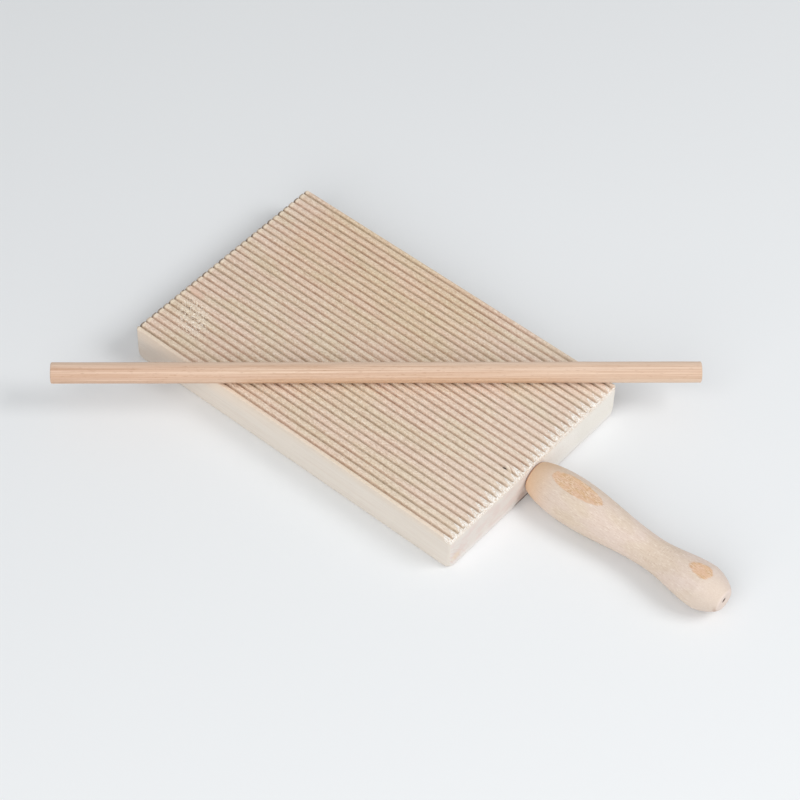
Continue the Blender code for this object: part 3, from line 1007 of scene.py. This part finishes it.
def beech_for_pin():
    material, nodes, place = new_finish("sanded beech dowel")
    local = nodes.add("ShaderNodeMapping", {"vector_type": "TEXTURE"}, {
        "Vector": place,
        "Location": PIN_CENTRE,
        "Rotation": (0.0, 0.0, PIN_ANGLE),
    })
    x, y, z = nodes.parts(local)
    streaks = nodes.noise(local, (0.012, 1.2, 1.2), detail=4.0, roughness=0.65)
    dark_lines = nodes.noise(local, (0.010, 3.2, 3.2), detail=1.0)
    pale_lines = nodes.noise(nodes.moved(local, (0.0, 13.0, 5.0)), (0.011, 3.0, 3.0), detail=1.0)
    pores = nodes.noise(local, (0.30, 3.2, 3.2), detail=1.0)
    colour = nodes.mix(streaks.rise(0.35, 0.65), paint(218, 187, 164), paint(212, 180, 154))
    colour = nodes.mix(dark_lines.rise(0.48, 0.58) * 0.45, colour, paint(184, 142, 112))
    colour = nodes.mix(pale_lines.rise(0.50, 0.60) * 0.45, colour, paint(246, 222, 200))
    colour = nodes.mix(pores.rise(0.62, 0.72) * 0.4, colour, paint(172, 130, 100))
    colour = nodes.mix(x.rise(20.0, 120.0) * 0.18, colour, paint(240, 213, 192))
    colour = nodes.mix(x.rise(-40.0, -120.0), colour, (0.98, 0.955, 0.955, 1.0), blend="MULTIPLY")

    # Painted light on the back and the right end's foot, and painted warm bounce off the board.
    across = y * SEEN_ACROSS[0] + z * SEEN_ACROSS[1]
    painted_right_foot_light = across.rise(-2.8, -4.2) * x.rise(80.0, 110.0)
    painted_light = across.rise(2.4, 4.2).math("MAXIMUM", painted_right_foot_light)
    colour = nodes.mix(painted_light * 0.4, colour, paint(248, 224, 202))
    painted_board_bounce = across.rise(-1.8, -4.0) * abs(x - 10.0).rise(85.0, 55.0)
    colour = nodes.mix(painted_board_bounce, colour, (1.0, 0.96, 0.89, 1.0), blend="MULTIPLY")

    # End grain
    end_pores = nodes.noise(local, (0.5, 2.8, 2.8), detail=2.0)
    end_wood = nodes.mix(end_pores.rise(0.4, 0.7), paint(222, 190, 160), paint(188, 148, 118))
    colour = nodes.mix(abs(x).rise(PIN_LENGTH / 2 - 0.3, PIN_LENGTH / 2 - 0.05), colour, end_wood)
    rough = 0.62 + streaks * 0.15
    relief = streaks * 0.3 + dark_lines * 0.3 + pores * 0.15
    surface(nodes, colour, rough, relief, 0.06)
    return material


# The object's pieces

board_wood = beech_for_board()
plough = ploughing()
ploughed_mesh = plough.make("ploughed_board", board_blank(), {
    "Pitch": PITCH,
    "Groove Width": GROOVE_WIDTH,
    "Groove Depth": GROOVE_DEPTH,
    "First Groove": FIRST_GROOVE,
    "Last Groove": LAST_GROOVE,
    "Grooved Above": GROOVED_ABOVE,
    "Near End": HALF_LENGTH,
    "Far Tip Length": 1.5,
    "Far Tip Drop": 0.35,
    "Torn Length": 5.0,
    "Torn Slant": 6.5,
    "Torn Depth": 0.35,
    "Patch Place": (*TORN_PATCH, 0.0),
    "Patch Reach": (*TORN_PATCH_REACH, 1.0),
    "Patch Lean": TORN_PATCH_LEAN,
    "Waviness": 0.12,
    "Bore Radius": TENON_RADIUS + PIECE_GAP,
    "Bore Length": TENON_LENGTH + BORE_END_CLEARANCE,
    "Bore Across": AXIS_ACROSS,
    "Bore Height": AXIS_HEIGHT,
    "Seed": 4.0,
    "Material": board_wood,
})

fibre = bpy.data.objects.new("fibre", fibre_shape())
bpy.context.scene.collection.objects.link(fibre)
frayed_mesh = fraying().make("torn_fibres", ploughed_mesh.copy(), {
    "Fibre": fibre,
    "Fibres per Area": 1.5,
    "Shortest": 0.5,
    "Longest": 1.5,
    "Seed": 11,
    "Material": beech_for_fibres(),
})
bpy.data.objects.remove(fibre, do_unlink=True)

board = as_piece(ploughed_mesh, math.radians(50))
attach(board, "board")
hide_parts("board")

frayed = as_piece(frayed_mesh)
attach(frayed, "board")

handle = as_piece(handle_mesh(), math.radians(40))
handle.data.materials.append(beech_for_handle())
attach(handle, "board")
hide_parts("handle")

pin = as_piece(pin_mesh(), math.radians(40))
pin.data.materials.append(beech_for_pin())
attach(pin, "rolling_pin")
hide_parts("rolling_pin")


# Table, light and camera

FLOOR_SIZE = 6.0
FLOOR_HEIGHT = -0.00005
LAMP_DISTANCE = 1.6
CAMERA_AIM = (0.025856, -0.012459, 0.020)
CAMERA_DISTANCE = 1.23755
CAMERA_AZIMUTH = math.radians(38.496)
CAMERA_ELEVATION = math.radians(49.889)
CAMERA_ROLL = math.radians(2.195)
SENSOR_WIDTH = 36.0
FOCAL_LENGTH = 121.675


def table():
    material, nodes, place = new_finish("pale table")
    cloudy = nodes.noise(place, (0.004, 0.004, 0.004), detail=1.0)
    colour = nodes.mix(cloudy, paint(237, 239, 241), paint(239, 241, 242))
    shader = nodes.add("ShaderNodeBsdfPrincipled", None, {
        "Base Color": colour,
        "Roughness": 0.9,
        "Specular IOR Level": 0.1,
    })
    nodes.add("ShaderNodeOutputMaterial", None, {"Surface": shader})
    half = FLOOR_SIZE / 2
    corners = [(x * half, y * half, FLOOR_HEIGHT) for x, y in ((-1, -1), (1, -1), (1, 1), (-1, 1))]
    floor = bpy.data.objects.new("table", mesh_from("table", corners, [(0, 1, 2, 3)]))
    floor.data.materials.append(material)
    bpy.context.scene.collection.objects.link(floor)


def softbox(name, azimuth, elevation, level, size):
    """A square lamp aimed at the board, whose level is the light that it adds to the table's."""
    around, up = math.radians(azimuth), math.radians(elevation)
    away = Vector((math.sin(around) * math.cos(up), -math.cos(around) * math.cos(up), math.sin(up)))
    lamp = bpy.data.lights.new(name, "AREA")
    lamp.shape = "SQUARE"
    lamp.size = size
    lamp.energy = level * math.pi * math.pi * LAMP_DISTANCE**2 / math.sin(up)
    holder = bpy.data.objects.new(name, lamp)
    holder.location = away * LAMP_DISTANCE
    holder.rotation_mode = "QUATERNION"
    holder.rotation_quaternion = away.to_track_quat("Z", "Y")
    bpy.context.scene.collection.objects.link(holder)


def studio():
    """Even light from all round, a pale backdrop that only the camera sees, and two soft lamps."""
    world = bpy.data.worlds.new("studio")
    world.use_nodes = True
    world.node_tree.nodes.clear()
    nodes = Nodes(world.node_tree)
    daylight = (0.97, 0.985, 1.0, 1.0)
    backdrop = (0.82, 0.83, 0.84, 1.0)
    light = nodes.add("ShaderNodeBackground", None, {"Color": daylight, "Strength": 0.42})
    shown = nodes.add("ShaderNodeBackground", None, {"Color": backdrop, "Strength": 1.0})
    path = nodes.add("ShaderNodeLightPath")
    seen = path.out("Is Camera Ray").math("MAXIMUM", path.out("Is Glossy Ray"))
    seen = seen.math("MAXIMUM", path.out("Is Transmission Ray"))
    both = nodes.add("ShaderNodeMixShader", None, {0: seen, 1: light, 2: shown})
    nodes.add("ShaderNodeOutputWorld", None, {"Surface": both})
    bpy.context.scene.world = world
    softbox("lamp on the right", azimuth=115.0, elevation=45.0, level=0.27, size=0.72)
    softbox("lamp in front", azimuth=22.0, elevation=38.0, level=0.33, size=1.4)


def camera():
    """The photo's view of the board, a little rolled."""
    back = Vector((
        math.sin(CAMERA_AZIMUTH) * math.cos(CAMERA_ELEVATION),
        -math.cos(CAMERA_AZIMUTH) * math.cos(CAMERA_ELEVATION),
        math.sin(CAMERA_ELEVATION),
    ))
    right = Vector((math.cos(CAMERA_AZIMUTH), math.sin(CAMERA_AZIMUTH), 0.0))
    up = back.cross(right)
    leaning_right = right * math.cos(CAMERA_ROLL) + up * math.sin(CAMERA_ROLL)
    leaning_up = up * math.cos(CAMERA_ROLL) - right * math.sin(CAMERA_ROLL)
    lens = bpy.data.cameras.new("camera")
    lens.sensor_width = SENSOR_WIDTH
    lens.lens = FOCAL_LENGTH
    lens.clip_start = 0.05
    lens.clip_end = 20.0
    holder = bpy.data.objects.new("camera", lens)
    turn = Matrix((leaning_right, leaning_up, back)).transposed().to_4x4()
    holder.matrix_world = Matrix.Translation(Vector(CAMERA_AIM) + back * CAMERA_DISTANCE) @ turn
    bpy.context.scene.collection.objects.link(holder)
    bpy.context.scene.camera = holder


table()
studio()
camera()
bpy.context.scene.view_settings.view_transform = "Standard"
